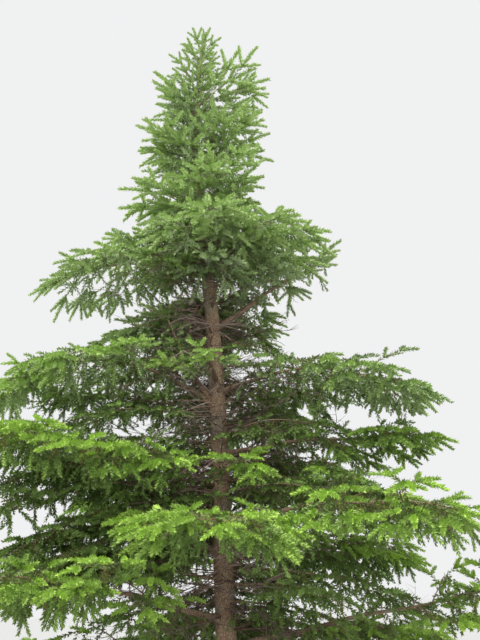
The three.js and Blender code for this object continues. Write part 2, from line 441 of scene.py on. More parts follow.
def small_bough_sizes():
    """The dull boughs between the tiers, dealt the inner greens as painted shade: short ones all
    round, then those for the gaps.
    """
    draw = np.random.default_rng(SMALL_SEED)
    count = int((SMALL_TO - SMALL_FROM) / SMALL_STEP)
    for number in range(count):
        height = SMALL_FROM + SMALL_STEP * number
        heading = (SMALL_TURN * number + draw.normal(0, 9)) % 360
        if SMALL_CLEAR[0] < heading < SMALL_CLEAR[1]:
            heading = (heading + 180) % 360
        longest = SMALL_LONGEST if height < SHORTER_FROM else SMALL_SHORTER
        yield dull_bough_sizes(height, heading, draw.uniform(0.5 * longest, longest), draw)
    for height, heading, reach in GAP_BOUGHS:
        yield dull_bough_sizes(height, heading, reach, draw)
    yield {**dull_bough_sizes(0.0, 0.0, 1.0, draw), **STEEP_BOUGH}


def dull_bough_sizes(height, heading, reach, draw):
    """The sizes of one slender dull bough, whose twigs are dealt the inner greens as painted shade.
    """
    return dict(
        PLAIN, dull=True, height=height, heading=heading, reach=reach,
        rise=draw.uniform(0.05, 0.3), sag=draw.uniform(0.2, 0.4), radius=0.013, bare=0.25,
        width=draw.uniform(0.5, 0.8), under=0.28, vigour=1.0,
        tier="shade_low" if height < SHADE_LEVEL else "shade_high",
    )


class Path:
    """A line through points, with the distance of each point along it."""

    def __init__(self, points, distances=None):
        if distances is None:
            steps = [math.dist(a, b) for a, b in zip(points, points[1:])]
            distances = np.concatenate(([0.0], np.cumsum(steps)))
        self.points = points
        self.distances = distances
        self.full = distances[-1]

    def at(self, distance):
        """The place and the direction at a distance along the path."""
        i = int(np.searchsorted(self.distances, distance)) - 1
        i = min(max(i, 0), len(self.points) - 2)
        part = (distance - self.distances[i]) / (self.distances[i + 1] - self.distances[i])
        way = self.points[i + 1] - self.points[i]
        return self.points[i] + way * part, unit(way)


class Growth:
    """All that has grown: the boughs, and stems and sprays by kind and region."""

    def __init__(self):
        self.boughs = []
        self.stems = {}
        self.sprays = {}


class Grower:
    """Grows twigs and needles in one region, by random draws of its own."""

    def __init__(self, growth, region, seed):
        self.growth = growth
        self.region = region
        self.draw = np.random.default_rng(seed)

    def stem(self, kind, points, thick, thin, shade):
        """A twig through these points, from its thick end to its thin one."""
        key = (kind, self.region, len(points))
        self.growth.stems.setdefault(key, []).append((np.array(points), thick, thin, shade))

    def spray(self, kind, foot, tip, shade, hanging, size, fullness=1.0):
        """Needles all along one year's length of twig."""
        row = (*foot, *tip, shade, hanging, fullness, 0.5 + 0.5 * size)
        self.growth.sprays.setdefault((kind, self.region), []).append(row)

    def spaced(self, place, end, least, most, spacing=1.0):
        """Places up to an end, each a drawn share of the spacing past the one before."""
        while place < end:
            yield place
            place += spacing * self.draw.uniform(least, most)

    def to_a_side(self, least, most):
        """A drawn angle to the left or to the right."""
        return self.draw.choice((-1, 1)) * self.draw.uniform(least, most)

    def dealt(self, shades, look, ahead):
        """A shade for a look, which is a part's name and its tone of painted light and shade, a step
        darker as painted shade where the shoot points down.
        """
        name, tone = look
        if ahead[2] < HANGING_SLOPE:
            tone += 1
        return min(max(int(self.draw.choice(shades[name])) + tone, 0), LAST_SHADE)

    def twig(self, foot, ahead, years, size, look, hanging=0):
        """A twig of some years' growth, with side shoots where two years meet."""
        draw = self.draw
        points = [foot]
        for year in range(years):
            last = year == years - 1
            length = SHOOT_LENGTH * size * draw.uniform(*SHOOT_SPREAD)
            if last:
                length *= NEW_SHARE
            tip = foot + ahead * length
            if last:
                shade = self.dealt(NEW_SHADES, look, ahead)
                self.spray(NEW, foot, tip, shade, hanging, size, FULLNESS[look[0]])
            else:
                points.append(tip)
                shade = self.dealt(OLD_SHADES, look, ahead)
                self.spray(OLD, foot, tip, shade, hanging, size)
                side_years = max(1, years - year - 2)
                for hand in (-1, 1):
                    if draw.random() <= SIDE_SHARE:
                        way = self.side_way(ahead, hand, hanging)
                        self.twig(tip, way, side_years, SIDE_SIZE * size, look, hanging)
            foot = tip
            bend = HANG_BEND if hanging else draw.normal(-0.1, 0.1)
            ahead = unit(ahead + UP * bend + draw.normal(0, 0.07, 3))
        if years > 1:
            shade = YOUNG_TWIG if years < 3 else OLD_TWIG
            self.stem(LIVE, points, TWIG_THICK + YEAR_THICK * years, TWIG_THIN, shade)

    def side_way(self, ahead, hand, hanging):
        """The way a side shoot leaves its twig."""
        draw = self.draw
        if not hanging:
            return leaning(ahead, hand * draw.normal(TWIG_ANGLE, 7), draw.normal(0.04, 0.12))
        across = np.cross(ahead, draw.normal(0, 1, 3))
        return unit(ahead + unit(across) * draw.uniform(0.6, 1.0))

    def dead_twig(self, foot, ahead, length, radius, forks):
        """A bare crooked twig that forks a given number of times over."""
        draw = self.draw
        pieces = DEAD_PIECES[forks]
        points = [foot]
        step = length / pieces
        shade = draw.choice(DEAD_SHADES)
        for piece in range(pieces):
            if foot[2] < LOWEST_TWIG:
                ahead = unit(ahead * (1.0, 1.0, 0.0) + UP * 0.05)
            foot = foot + ahead * step
            points.append(foot)
            ahead = unit(ahead + draw.normal(0, 0.11, 3) - UP * 0.03)
            for _ in range(forks):
                way = leaning(ahead, self.to_a_side(38, 70), draw.normal(-0.06, 0.2))
                part = length * draw.uniform(0.22, 0.5) * (1 - 0.5 * piece / pieces)
                start = foot - ahead * step * draw.uniform(0, 0.6)
                self.dead_twig(start, way, part, 0.62 * radius, forks - 1)
        self.stem(DEAD, points, radius, DEAD_THIN, shade)

    def dead_side_twigs(self, path, first, last):
        """Short bare twigs along a stretch of a limb or lateral."""
        draw = self.draw
        for distance in self.spaced(first + draw.uniform(0.02, 0.06), last, 0.03, 0.09):
            place, way = path.at(distance)
            ahead = leaning(way, self.to_a_side(45, 85), -draw.uniform(-0.2, 0.7))
            self.dead_twig(place, ahead, draw.uniform(0.12, 0.42), DEAD_SIDE_THICK, 1)

    def needles_along(self, path, bare, size):
        """The needles of a limb or lateral itself, on its outer part."""
        distance = max(bare, 0.25 * path.full)
        while distance < path.full - 0.04:
            foot, _ = path.at(distance)
            tip, _ = path.at(min(path.full, distance + SHOOT_LENGTH))
            shade = self.draw.choice(OLD_SHADES["rim"])
            self.spray(OLD, foot, tip, shade, 0, size, LIMB_FULLNESS)
            distance += SHOOT_LENGTH


class Bough(Grower):
    """One bough: its limb's line, and the drooping sheet that its twigs lie in."""

    def __init__(self, growth, sizes, seed):
        self.__dict__.update(sizes)
        super().__init__(growth, REGION_OF.get(self.tier, self.tier), seed)
        turn = math.radians(self.heading)
        self.ahead = np.array((math.cos(turn), math.sin(turn), 0.0))
        self.aside = np.array((-math.sin(turn), math.cos(turn), 0.0))
        self.root = trunk_axis(self.height)
        self.start = self.reach * self.bare
        self.length = self.reach - self.start
        self.limb_end = self.reach - TIP_ROOM * self.vigour
        self.phases = self.draw.uniform(0, 2 * math.pi, 3)

    def limb(self, along):
        """The limb's line, wandering a little as a grown limb does."""
        share = along / self.reach
        lift = self.reach * (self.rise * share - self.sag * share * share)
        wander = WANDER * min(1.0, along / 0.3)
        swing = wander * math.sin(5.1 * along + self.phases[0])
        dip = 0.6 * wander * math.sin(7.3 * along + self.phases[1])
        return self.root + self.ahead * along + self.aside * swing + UP * (lift + dip)

    def sheet(self, along, across):
        """A place off the limb, on the sheet that droops to both sides and may tilt."""
        droop = SIDE_DROOP * self.width * (2 * across / self.width) ** 2
        droop -= self.tilt * across
        return self.limb(along) + self.aside * across - UP * droop

    def half_width(self, along):
        """How far the bough's outline is from its limb."""
        place = 2 * (along - self.start) / self.length - 1
        if abs(place) >= 1:
            return 0.0
        fan = 1 - FAN_NARROWING * (1 - place) * 0.5
        lumps = 1 + 0.09 * math.sin(9 * place + self.phases[2])
        return 0.5 * self.width * math.sqrt(1 - place * place) * fan * lumps

    def limb_radius(self, along):
        """The limb's radius: half is left where the foliage starts, little at the tip."""
        bare = min(0.5, self.bare + 0.09 / self.reach)
        share = along / self.reach
        if share < bare:
            thick = self.radius * (1 - 0.5 * share / bare)
        else:
            thick = 0.5 * self.radius * (1 - (share - bare) / (1 - bare)) ** 0.8
        collar = 0.35 * self.radius * math.exp(-((along / 0.11) ** 2))
        return max(LIMB_THIN, thick + collar)

    def look(self, name):
        """The look of a part of this bough, by its tone of painted light and shade: a dull bough is
        dealt the inside's painted shade.
        """
        return ("inner" if self.dull else name, self.tone)

    def grow(self):
        """Laterals on both sides, twigs on the limb, and dead ones where it is bare."""
        first = max(0.05, self.start - 0.1 * self.length)
        spacing = LATERAL_SPACING * (0.6 + 0.4 * self.vigour) * self.close
        for hand in (-1, 1):
            nearest = first + self.draw.uniform(0, spacing)
            for along in self.spaced(nearest, self.limb_end - 0.05, 0.8, 1.2, spacing):
                self.grow_lateral(along, hand)
        steps = np.linspace(0.0, self.limb_end, 40)
        points = [self.limb(along) for along in steps]
        path = Path(points, steps)
        self.grow_end(points[-1], unit(points[-1] - points[-2]))
        self.limb_twigs(path)
        self.needles_along(path, 0.55 * self.reach, self.vigour)
        if self.start > 0.2:
            self.dead_side_twigs(path, 0.15, self.start + 0.2)
            self.inner_twigs(path)

    def lateral_points(self, start, hand):
        """The points of one lateral, from the limb to the bough's outline."""
        draw = self.draw
        along, across, gone = start, 0.0, 0.0
        angle = draw.normal(LATERAL_ANGLE, 5)
        layer = draw.normal(0.01, LATERAL_LAYER)
        cut = draw.uniform(0.84, 1.0)
        points = [self.sheet(along, 0.0)]
        while gone < LATERAL_LONGEST:
            turn = math.radians(angle)
            along += LATERAL_STEP * math.cos(turn)
            across += LATERAL_STEP * math.sin(turn)
            gone += LATERAL_STEP
            inside = across + END_ROOM < cut * self.half_width(along + TIP_ROOM)
            outer = along > self.start + 0.12 * self.length or gone > LATERAL_SHORTEST
            if outer and not inside:
                break
            rise = layer * min(1.0, gone / 0.25)
            swing = 0.01 * math.sin(11 * gone + start * 40)
            place = self.sheet(along + swing, hand * across) + UP * rise
            points.append(place + draw.normal(0, 0.004, 3))
            angle = max(LATERAL_LEAST_ANGLE, angle - LATERAL_BEND)
        tilt = draw.normal(-0.006, 0.012)
        for k in range(1, min(4, len(points))):
            points[-k] = points[-k] + UP * tilt * (4 - k)
        return points

    def grow_lateral(self, start, hand):
        """A lateral with its twigs, its hanging twigs and its bare inner part."""
        draw = self.draw
        points = self.lateral_points(start, hand)
        if len(points) < 3:
            return
        path = Path(points)
        full = path.full
        depth = (start - self.start) / self.length
        thick = min(LATERAL_THICK, 0.0024 + 0.006 * full)
        self.stem(LIVE, points, thick, LATERAL_THIN, OLD_TWIG)
        bare = full * max(0.0, 0.3 - 0.6 * depth)
        first = bare + draw.uniform(0.3, 1.0) * TWIG_SPACING
        side = hand
        for distance in self.spaced(first, full - 0.02, 0.7, 1.3, TWIG_SPACING * self.vigour):
            foot, way = path.at(distance)
            # Twigs on the inner part of a lateral and of the bough get the middle and inner looks:
            # darker greens as painted shade
            name = "rim" if distance > 0.5 * full or depth > 0.7 else "middle"
            if distance < 0.35 * full and depth < 0.55:
                name = "inner"
            turn = side * draw.normal(TWIG_ANGLE, 8)
            rise = draw.normal(0.1 - RIM_DROOP * distance / full, 0.1 if self.dull else 0.15)
            ahead = leaning(way, turn, min(rise, MOST_RISE))
            years = 3 if draw.random() < 0.14 and full - distance > 0.35 else 2
            if full - distance < 0.12:
                years = 1
            self.twig(foot, ahead, years, self.vigour, self.look(name))
            side = -side
        self.grow_end(*path.at(full))
        self.needles_along(path, bare, self.vigour)
        self.hang_twigs(path, bare)
        if bare > 0.08 and self.bare > LEAST_BARE:
            self.dead_side_twigs(path, 0.0, bare)

    def grow_end(self, end, way):
        """The end of a limb or lateral: its leading shoot between two side shoots."""
        look = self.look("rim")
        self.twig(end, way, 1, END_SIZE * self.vigour, look)
        for hand in (-1, 1):
            ahead = leaning(way, hand * END_ANGLE, -0.05)
            self.twig(end - way * 0.015, ahead, 1, BESIDE_SIZE * self.vigour, look)

    def limb_twigs(self, path):
        """Twigs straight on the limb, which hide it from the side and from its end."""
        draw = self.draw
        first = self.start + 0.1 * self.length
        lift = 0.1 if self.dull or self.tone > 0 else 0.35
        for distance in self.spaced(first, self.limb_end - 0.04, 0.6, 1.4, LIMB_TWIG_SPACING):
            foot, way = path.at(distance)
            outer = distance > self.start + 0.35 * self.length
            ahead = leaning(way, draw.uniform(-45, 45), draw.uniform(-0.5, lift))
            self.twig(foot, ahead, 2, self.vigour, self.look("rim" if outer else "middle"))

    def hang_twigs(self, path, bare):
        """Twigs that hang under a lateral, down to the bough's underside."""
        draw = self.draw
        first = bare + draw.uniform(0.2, 1.0) * HANG_SPACING
        spacing = HANG_SPACING * self.vigour
        for distance in self.spaced(first, path.full - 0.03, 0.7, 1.4, spacing):
            foot, way = path.at(distance)
            share = distance / path.full
            depth = self.under * (1 - 0.35 * share) * draw.uniform(0.45, 1.1)
            years = max(1, min(3, round(depth / SHOOT_LENGTH / self.vigour)))
            lean = way * draw.uniform(0.1, 0.6) + draw.normal(0, 0.25, 3)
            ahead = unit(lean - UP * 0.8)
            # Hanging twigs get the hanging and inner looks: darker greens as painted shade under the
            # bough
            look = self.look("inner" if share < 0.5 else "hanging")
            self.twig(foot, ahead, years, BESIDE_SIZE * self.vigour, look, 1)

    def inner_twigs(self, path):
        """Sparse twigs on the stretch of limb between the trunk and the foliage, dealt the inner
        greens as painted shade.
        """
        draw = self.draw
        for distance in self.spaced(0.3 * self.start, self.start + 0.15, 0.05, 0.12):
            place, way = path.at(distance)
            ahead = leaning(way, self.to_a_side(40, 90), -draw.uniform(0.1, 1.1))
            years = int(draw.integers(1, 3))
            self.twig(place, ahead, years, self.vigour, ("inner", 0), 1)


def grow_leader(growth):
    """The top of the tree: its whorls, the twigs on the upper stem, and the leading shoot."""
    grower = Grower(growth, LEADER_REGION, LEADER_SEED)
    draw = grower.draw
    for height, count, years in LEADER_WHORLS:
        first = draw.uniform(0, 360)
        for k in range(count):
            turn = math.radians(first + 360 * k / count + draw.normal(0, 9))
            ahead = outward(turn, draw.uniform(0.5, 0.9))
            grower.twig(trunk_axis(height), ahead, years, 1.1, ("rim", 0))
    for height, years in LEADER_SHOOTS:
        for _ in range(5):
            ahead = outward(draw.uniform(0, 2 * math.pi), 0.8)
            grower.twig(trunk_axis(height), ahead, years, 1.0, ("rim", 0))
    # Twigs round the upper stem get the middle and inner looks: darker greens as painted shade
    # inside the crown
    for height in np.arange(*STEM_TWIG_HEIGHTS):
        for _ in range(5):
            ahead = outward(draw.uniform(0, 2 * math.pi), draw.uniform(-0.2, 0.5))
            look = (draw.choice(("middle", "inner")), 0)
            grower.twig(trunk_axis(height), ahead, 2, 1.25, look)
    for foot in np.arange(*STEM_NEEDLE_HEIGHTS):
        top = foot + STEM_NEEDLE_HEIGHTS[2]
        grower.spray(NEW, trunk_axis(foot), trunk_axis(top), 1, 0, LEADER_SIZE)
    grower.spray(NEW, trunk_axis(TIP_FROM), trunk_axis(TIP_TO), 0, 0, LEADER_SIZE)


def grow_dead_branches(growth):
    """Whorls of dead branches on the trunk, between and under the live boughs."""
    grower = Grower(growth, None, DEAD_SEED)
    draw = grower.draw
    for height in grower.spaced(DEAD_FROM, DEAD_TO, *DEAD_WHORL_GAPS):
        first = draw.uniform(0, 360)
        count = int(draw.integers(8, 12))
        longest = DEAD_LONGEST if height < DEAD_HIGH_FROM else DEAD_LONGEST_HIGH
        for k in range(count + DEAD_STRAYS):
            even = first + 360 * k / count
            angle = even if k < count else draw.uniform(0, 360)
            level = height + (draw.normal(0, 0.015) if k < count else draw.uniform(0.05, 0.3))
            turn = math.radians(angle + draw.normal(0, 8))
            ahead = outward(turn, draw.normal(-0.12 + 0.08 * height, 0.14))
            length = draw.uniform(DEAD_SHORTEST, longest)
            foot = trunk_axis(level) + ahead * 0.6 * stem_radius(level)
            grower.region = next(region for top, region in DEAD_REGIONS if level < top)
            grower.dead_twig(foot, ahead, length, draw.uniform(*DEAD_THICK), 2)


GROWN = Growth()


def grown():
    """The whole growth, worked out once."""
    if not GROWN.boughs:
        for number, sizes in enumerate([*bough_sizes(), *small_bough_sizes()]):
            bough = Bough(GROWN, sizes, SEED + number)
            GROWN.boughs.append(bough)
            bough.grow()
        grow_leader(GROWN)
        grow_dead_branches(GROWN)
    return GROWN


# Meshes


def joined_mesh(name, points, faces, shades):
    """One smooth mesh of many small triangles, from arrays."""
    mesh = bpy.data.meshes.new(name)
    mesh.vertices.add(len(points))
    mesh.vertices.foreach_set("co", points.astype(np.float32).ravel())
    mesh.loops.add(faces.size)
    mesh.loops.foreach_set("vertex_index", faces.astype(np.int32).ravel())
    mesh.polygons.add(len(faces))
    mesh.polygons.foreach_set("loop_start", np.arange(0, faces.size, 3, dtype=np.int32))
    mesh.polygons.foreach_set("material_index", shades.astype(np.int32))
    mesh.polygons.foreach_set("use_smooth", np.ones(len(faces), dtype=bool))
    mesh.update(calc_edges=True)
    mesh.validate()
    return mesh


def normalized(ways):
    return ways / np.maximum(np.linalg.norm(ways, axis=-1, keepdims=True), 1e-9)


def three_ways(across, above):
    """The ways out of a stem to its three sides, a third of a turn apart."""
    for k in range(3):
        turn = 2 * math.pi * k / 3
        yield across * math.cos(turn) + above * math.sin(turn)


def needle_arrays(rows, needle, seed):
    """Creased needles of two faces each round every spray's twig."""
    draw = np.random.default_rng(seed)
    rows = np.array(rows, dtype=float)
    foot = rows[:, 0:3]
    way = rows[:, 3:6] - foot
    shade, hanging, fullness, scale = rows[:, 6:].T
    length = np.linalg.norm(way, axis=1)
    ahead = way / length[:, None]
    density = needle["per_metre"] * fullness / scale
    counts = np.maximum(LEAST_NEEDLES, np.round(density * length)).astype(int)
    spray = np.repeat(np.arange(len(rows)), counts)
    total = len(spray)
    number = np.arange(total) - np.repeat(np.cumsum(counts) - counts, counts)
    share = (number + draw.random(total)) / counts[spray]
    steep = np.abs(ahead[:, 2]) > 0.93
    aloft = np.where(steep[:, None], np.array((1.0, 0.0, 0.0)), UP)
    across = normalized(np.cross(ahead, aloft))
    above = np.cross(across, ahead)
    phase = draw.uniform(0, 2 * math.pi, len(rows))
    turn = GOLDEN_ANGLE * number + phase[spray] + draw.normal(0, TURN_SPREAD, total)
    parting = np.where(hanging[spray] > 0, 1.0, needle["parting"])
    turn = (turn % (2 * math.pi) - math.pi) * parting
    out = above[spray] * np.cos(turn)[:, None] + across[spray] * np.sin(turn)[:, None]
    lean = needle["lean"] + draw.normal(0, LEAN_SPREAD, total) - TIP_LEAN * share**3
    lean = np.radians(lean)[:, None]
    point = ahead[spray] * np.cos(lean) + out * np.sin(lean)
    broad = normalized(np.cross(point, out))
    proud = np.cross(broad, point)
    roll = draw.normal(0, ROLL_SPREAD, total)[:, None]
    flat = broad * np.cos(roll) + proud * np.sin(roll)
    keel = proud * np.cos(roll) - broad * np.sin(roll)
    size = needle["length"] * draw.uniform(0.9, 1.06, total) * (1 - 0.2 * share**2)
    size = (size * scale[spray] * np.minimum(1.0, 0.55 + 3 * share))[:, None]
    half = (0.5 * needle["width"] * scale[spray] * draw.uniform(0.85, 1.15, total))[:, None]
    sag = needle["sag"] * length * (1.0 - hanging)
    base = foot[spray] + way[spray] * share[:, None] + out * OFF_TWIG
    base -= UP * (sag[spray] * share**2)[:, None]
    middle = base + point * size * BROADEST - keel * half * CREASE
    corners = np.stack(
        (base, middle + flat * half, base + point * size, middle - flat * half), axis=1
    )
    first = 4 * np.arange(total)[:, None]
    faces = np.stack((first + (0, 1, 2), first + (0, 2, 3)), axis=1).reshape(-1, 3)
    needles = (corners.reshape(-1, 3), faces, np.repeat(shade[spray], 2))
    if not needle["core"]:
        return needles
    tip = foot + way - UP * sag[:, None]
    radius = needle["core"] * scale[:, None]
    return joined_arrays([needles, core_arrays(foot, tip, across, above, radius, shade)])


def core_arrays(foot, tip, across, above, radius, shades):
    """The soft green stem inside each new shoot: a slender three-sided cone."""
    corners = [foot + out * radius for out in three_ways(across, above)]
    points = np.stack((*corners, tip), axis=1).reshape(-1, 3)
    first = 4 * np.arange(len(foot))[:, None]
    sides = [first + corner for corner in ((0, 1, 3), (1, 2, 3), (2, 0, 3), (0, 2, 1))]
    faces = np.stack(sides, axis=1).reshape(-1, 3)
    return points, faces, np.repeat(shades, len(sides))


def stem_arrays(group):
    """Three-sided stems that taper to a point, all of the same number of points."""
    lines, thick, thin, shades = (np.array(part) for part in zip(*group))
    count = len(lines)
    rings = lines.shape[1] - 1
    taper = np.arange(rings)[None, :] / rings
    radius = thick[:, None] + (thin - thick)[:, None] * taper
    ways = np.gradient(lines, axis=1)[:, :rings]
    mean = lines[:, -1] - lines[:, 0]
    steep = np.abs(normalized(mean)[:, 2:3]) > 0.8
    aloft = np.where(steep, np.array((1.0, 0.0, 0.0)), UP)
    across = normalized(np.cross(ways, aloft[:, None, :]))
    above = normalized(np.cross(across, ways))
    sides = [lines[:, :rings] + out * radius[:, :, None] for out in three_ways(across, above)]
    rims = np.stack(sides, axis=2).reshape(count, 3 * rings, 3)
    points = np.concatenate((rims, lines[:, -1:]), axis=1).reshape(-1, 3)
    faces = []
    for ring in range(rings - 1):
        for k in range(3):
            a = 3 * ring + k
            b = 3 * ring + (k + 1) % 3
            faces.append((a, b, b + 3))
            faces.append((a, b + 3, a + 3))
    last = 3 * (rings - 1)
    faces.append((0, 2, 1))
    for k in range(3):
        faces.append((last + k, last + (k + 1) % 3, last + 3))
    starts = (3 * rings + 1) * np.arange(count)[:, None, None]
    every = (np.array(faces)[None] + starts).reshape(-1, 3)
    return points, every, np.repeat(shades, len(faces))


def joined_arrays(parts):
    """Several sets of points, faces and shades as one set."""
    moved = []
    first = 0
    for points, faces, _ in parts:
        moved.append(faces + first)
        first += len(points)
    return (
        np.concatenate([points for points, _, _ in parts]),
        np.concatenate(moved),
        np.concatenate([shades for _, _, shades in parts]),
    )


def finished(form, name):
    """The mesh of a form, which is then freed."""
    mesh = bpy.data.meshes.new(name)
    form.to_mesh(mesh)
    form.free()
    return mesh


def put_in_scene(name, mesh, materials):
    """An object for a mesh, with its materials in order."""
    piece = bpy.data.objects.new(name, mesh)
    for material in materials:
        mesh.materials.append(material)
    bpy.context.scene.collection.objects.link(piece)
    return piece


def tree_piece(name, mesh, materials):
    """A piece of the tree, on its one body and in its material slot."""
    piece = put_in_scene(name, mesh, materials)
    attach(piece, "root")
    return piece


def needle_pieces(kind, needle, shades, seed):
    """A joined piece of needles for each region that has any, paler in the crown with painted glare
    haze.
    """
    materials = {
        level: needle_materials(shades, haze_share, level)
        for level, haze_share in PAINTED_HAZE.items()
    }
    pieces = {}
    for number, region in enumerate(REGIONS):
        rows = grown().sprays.get((kind, region))
        if rows:
            name = f"{kind}_{region}"
            mesh = joined_mesh(name, *needle_arrays(rows, needle, seed + number))
            level = LEVEL_OF.get(region, "low")
            pieces[region] = tree_piece(name, mesh, materials[level])
    return pieces


def needle_materials(shades, haze_share, level):
    """The plain colours of one kind of needles, all paled by a share towards a grey-green as painted
    glare haze.
    """
    return [
        plain_material(f"{name}_{level}", mixed(colour, HAZE_GREEN, haze_share), 0.6, 0.22)
        for name, colour in shades
    ]


def twig_pieces(kind, materials):
    """A joined piece of twigs for each region that has any."""
    for region in REGIONS:
        parts = [
            stem_arrays(group)
            for (own, place, _), group in grown().stems.items()
            if own == kind and place == region
        ]
        if parts:
            name = f"{kind}_{region}"
            tree_piece(name, joined_mesh(name, *joined_arrays(parts)), materials)


def wrapped_tube(sides, rings, place):
    """A grid wrapped round a line, its seam merged and both its ends closed."""
    form = bmesh.new()
    bmesh.ops.create_grid(form, x_segments=sides, y_segments=rings, size=0.5)
    for vertex in form.verts:
        turn = (vertex.co.x + 0.5) * 2 * math.pi
        vertex.co = place(turn, vertex.co.y + 0.5)
    bmesh.ops.remove_doubles(form, verts=form.verts, dist=0.00002)
    rims = [edge for edge in form.edges if edge.is_boundary]
    bmesh.ops.edgeloop_fill(form, edges=rims)
    bmesh.ops.recalc_face_normals(form, faces=form.faces)
    for face in form.faces:
        face.smooth = len(face.verts) < 5
    return form


def bark_relief(place, size, depth):
    """How far the bark's flakes and furrows lift or sink a point of the stem."""
    cell = Vector((place.x / size, place.y / size, place.z / (1.7 * size)))
    distances, centres = noise.voronoi(cell)
    furrow = min(1.0, (distances[1] - distances[0]) / 0.28)
    flake = noise.noise(centres[0] * 3.1)
    rough = noise.noise(place * (2.6 / size))
    return depth * (0.75 * flake + 0.9 * furrow - 0.9 + 0.3 * rough)


# Materials


def scaled(colour, share):
    return tuple(part * share for part in colour)


def mixed(first, second, share):
    return tuple(a * (1 - share) + b * share for a, b in zip(first, second))


def new_material(name):
    """A material, its node tree and its shader."""
    material = bpy.data.materials.new(name)
    material.use_nodes = True
    return material, material.node_tree, material.node_tree.nodes["Principled BSDF"]


def feed(tree, node, inputs):
    """Give a node its inputs, each a value or the output of another node."""
    for name, value in inputs.items():
        if isinstance(value, bpy.types.NodeSocket):
            tree.links.new(value, node.inputs[name])
        else:
            node.inputs[name].default_value = value


def new_node(tree, kind, inputs, **settings):
    """A node of a kind, with its settings and then its inputs."""
    node = tree.nodes.new(f"ShaderNode{kind}")
    for name, value in settings.items():
        setattr(node, name, value)
    feed(tree, node, inputs)
    return node


def mix(tree, first, second, factor, blend="MIX"):
    """The output of a mix of two colours."""
    inputs = {"A": first, "B": second, "Factor": factor}
    return new_node(tree, "Mix", inputs, data_type="RGBA", blend_type=blend).outputs["Result"]


def ramp(tree, value, low, low_colour, high, high_colour):
    """The output of a ramp from one colour to another."""
    node = new_node(tree, "ValToRGB", {"Fac": value})
    first, last = node.color_ramp.elements
    first.position = low
    first.color = (*low_colour, 1.0)
    last.position = high
    last.color = (*high_colour, 1.0)
    return node.outputs["Color"]


def plain_material(name, colour, roughness, specular):
    """A plain base colour, for things too small to hold a pattern."""
    material, tree, shader = new_material(name)
    whole = (*colour, 1.0)
    inputs = {"Base Color": whole, "Roughness": roughness, "Specular IOR Level": specular}
    feed(tree, shader, inputs)
    material.diffuse_color = whole
    return material


def bark_material(name, dark, brown, pale, flake):
    """Flaky bark: dark furrows, brown and pale flakes, grey crust in patches."""
    material, tree, shader = new_material(name)
    place = new_node(tree, "TexCoord", {}).outputs["Object"]
    stretch = new_node(tree, "Mapping", {"Scale": (1.0, 1.0, 0.6), "Vector": place})
    along = stretch.outputs["Vector"]
    cell = {"Scale": 1.0 / flake, "Vector": along}
    cells = new_node(tree, "TexVoronoi", cell)
    seams = new_node(tree, "TexVoronoi", cell, feature="DISTANCE_TO_EDGE").outputs["Distance"]
    grain = new_node(tree, "TexNoise", {"Scale": 3.5 / flake, "Detail": 6.0, "Vector": along})
    grain = grain.outputs["Fac"]
    patches = new_node(tree, "TexNoise", {"Scale": 5.5, "Detail": 4.0, "Vector": place})
    colour = mix(tree, (*brown, 1.0), (*pale, 1.0), cells.outputs["Color"])
    speckle = ramp(tree, grain, 0.3, (0.35, 0.33, 0.32), 0.7, (1.0, 1.0, 1.0))
    colour = mix(tree, colour, speckle, 0.55, "MULTIPLY")
    crust = ramp(tree, patches.outputs["Fac"], 0.52, (0.0, 0.0, 0.0), 0.66, (0.5, 0.5, 0.5))
    colour = mix(tree, colour, (0.3, 0.33, 0.27, 1.0), crust)
    furrow = ramp(tree, seams, 0.0, dark, 0.12, (1.0, 1.0, 1.0))
    colour = mix(tree, colour, furrow, 0.85, "MULTIPLY")
    height = new_node(tree, "Math", {0: seams, 1: 0.6, 2: grain}, operation="MULTIPLY_ADD")
    relief = {"Strength": 0.7, "Distance": 0.22 * flake, "Height": height.outputs["Value"]}
    bump = new_node(tree, "Bump", relief)
    matt = new_node(tree, "MapRange", {"To Min": 0.7, "To Max": 0.95, "Value": grain})
    inputs = {
        "Base Color": colour, "Normal": bump.outputs["Normal"],
        "Roughness": matt.outputs["Result"], "Specular IOR Level": 0.25,
    }
    feed(tree, shader, inputs)
    return material


def floor_material(colour):
    """A plain pale floor with a faint unevenness."""
    material, tree, shader = new_material("pale_floor")
    place = new_node(tree, "TexCoord", {}).outputs["Object"]
    cloud = new_node(tree, "TexNoise", {"Scale": 0.8, "Vector": place}).outputs["Fac"]
    tone = mix(tree, (*scaled(colour, 0.97), 1.0), (*colour, 1.0), cloud)
    feed(tree, shader, {"Base Color": tone, "Roughness": 0.9})
    return material


# Settings that a user would change

LENGTH = dict(subtype="DISTANCE", unit="LENGTH")
COLOUR = dict(subtype="COLOR", size=3, min=0.0, max=1.0)


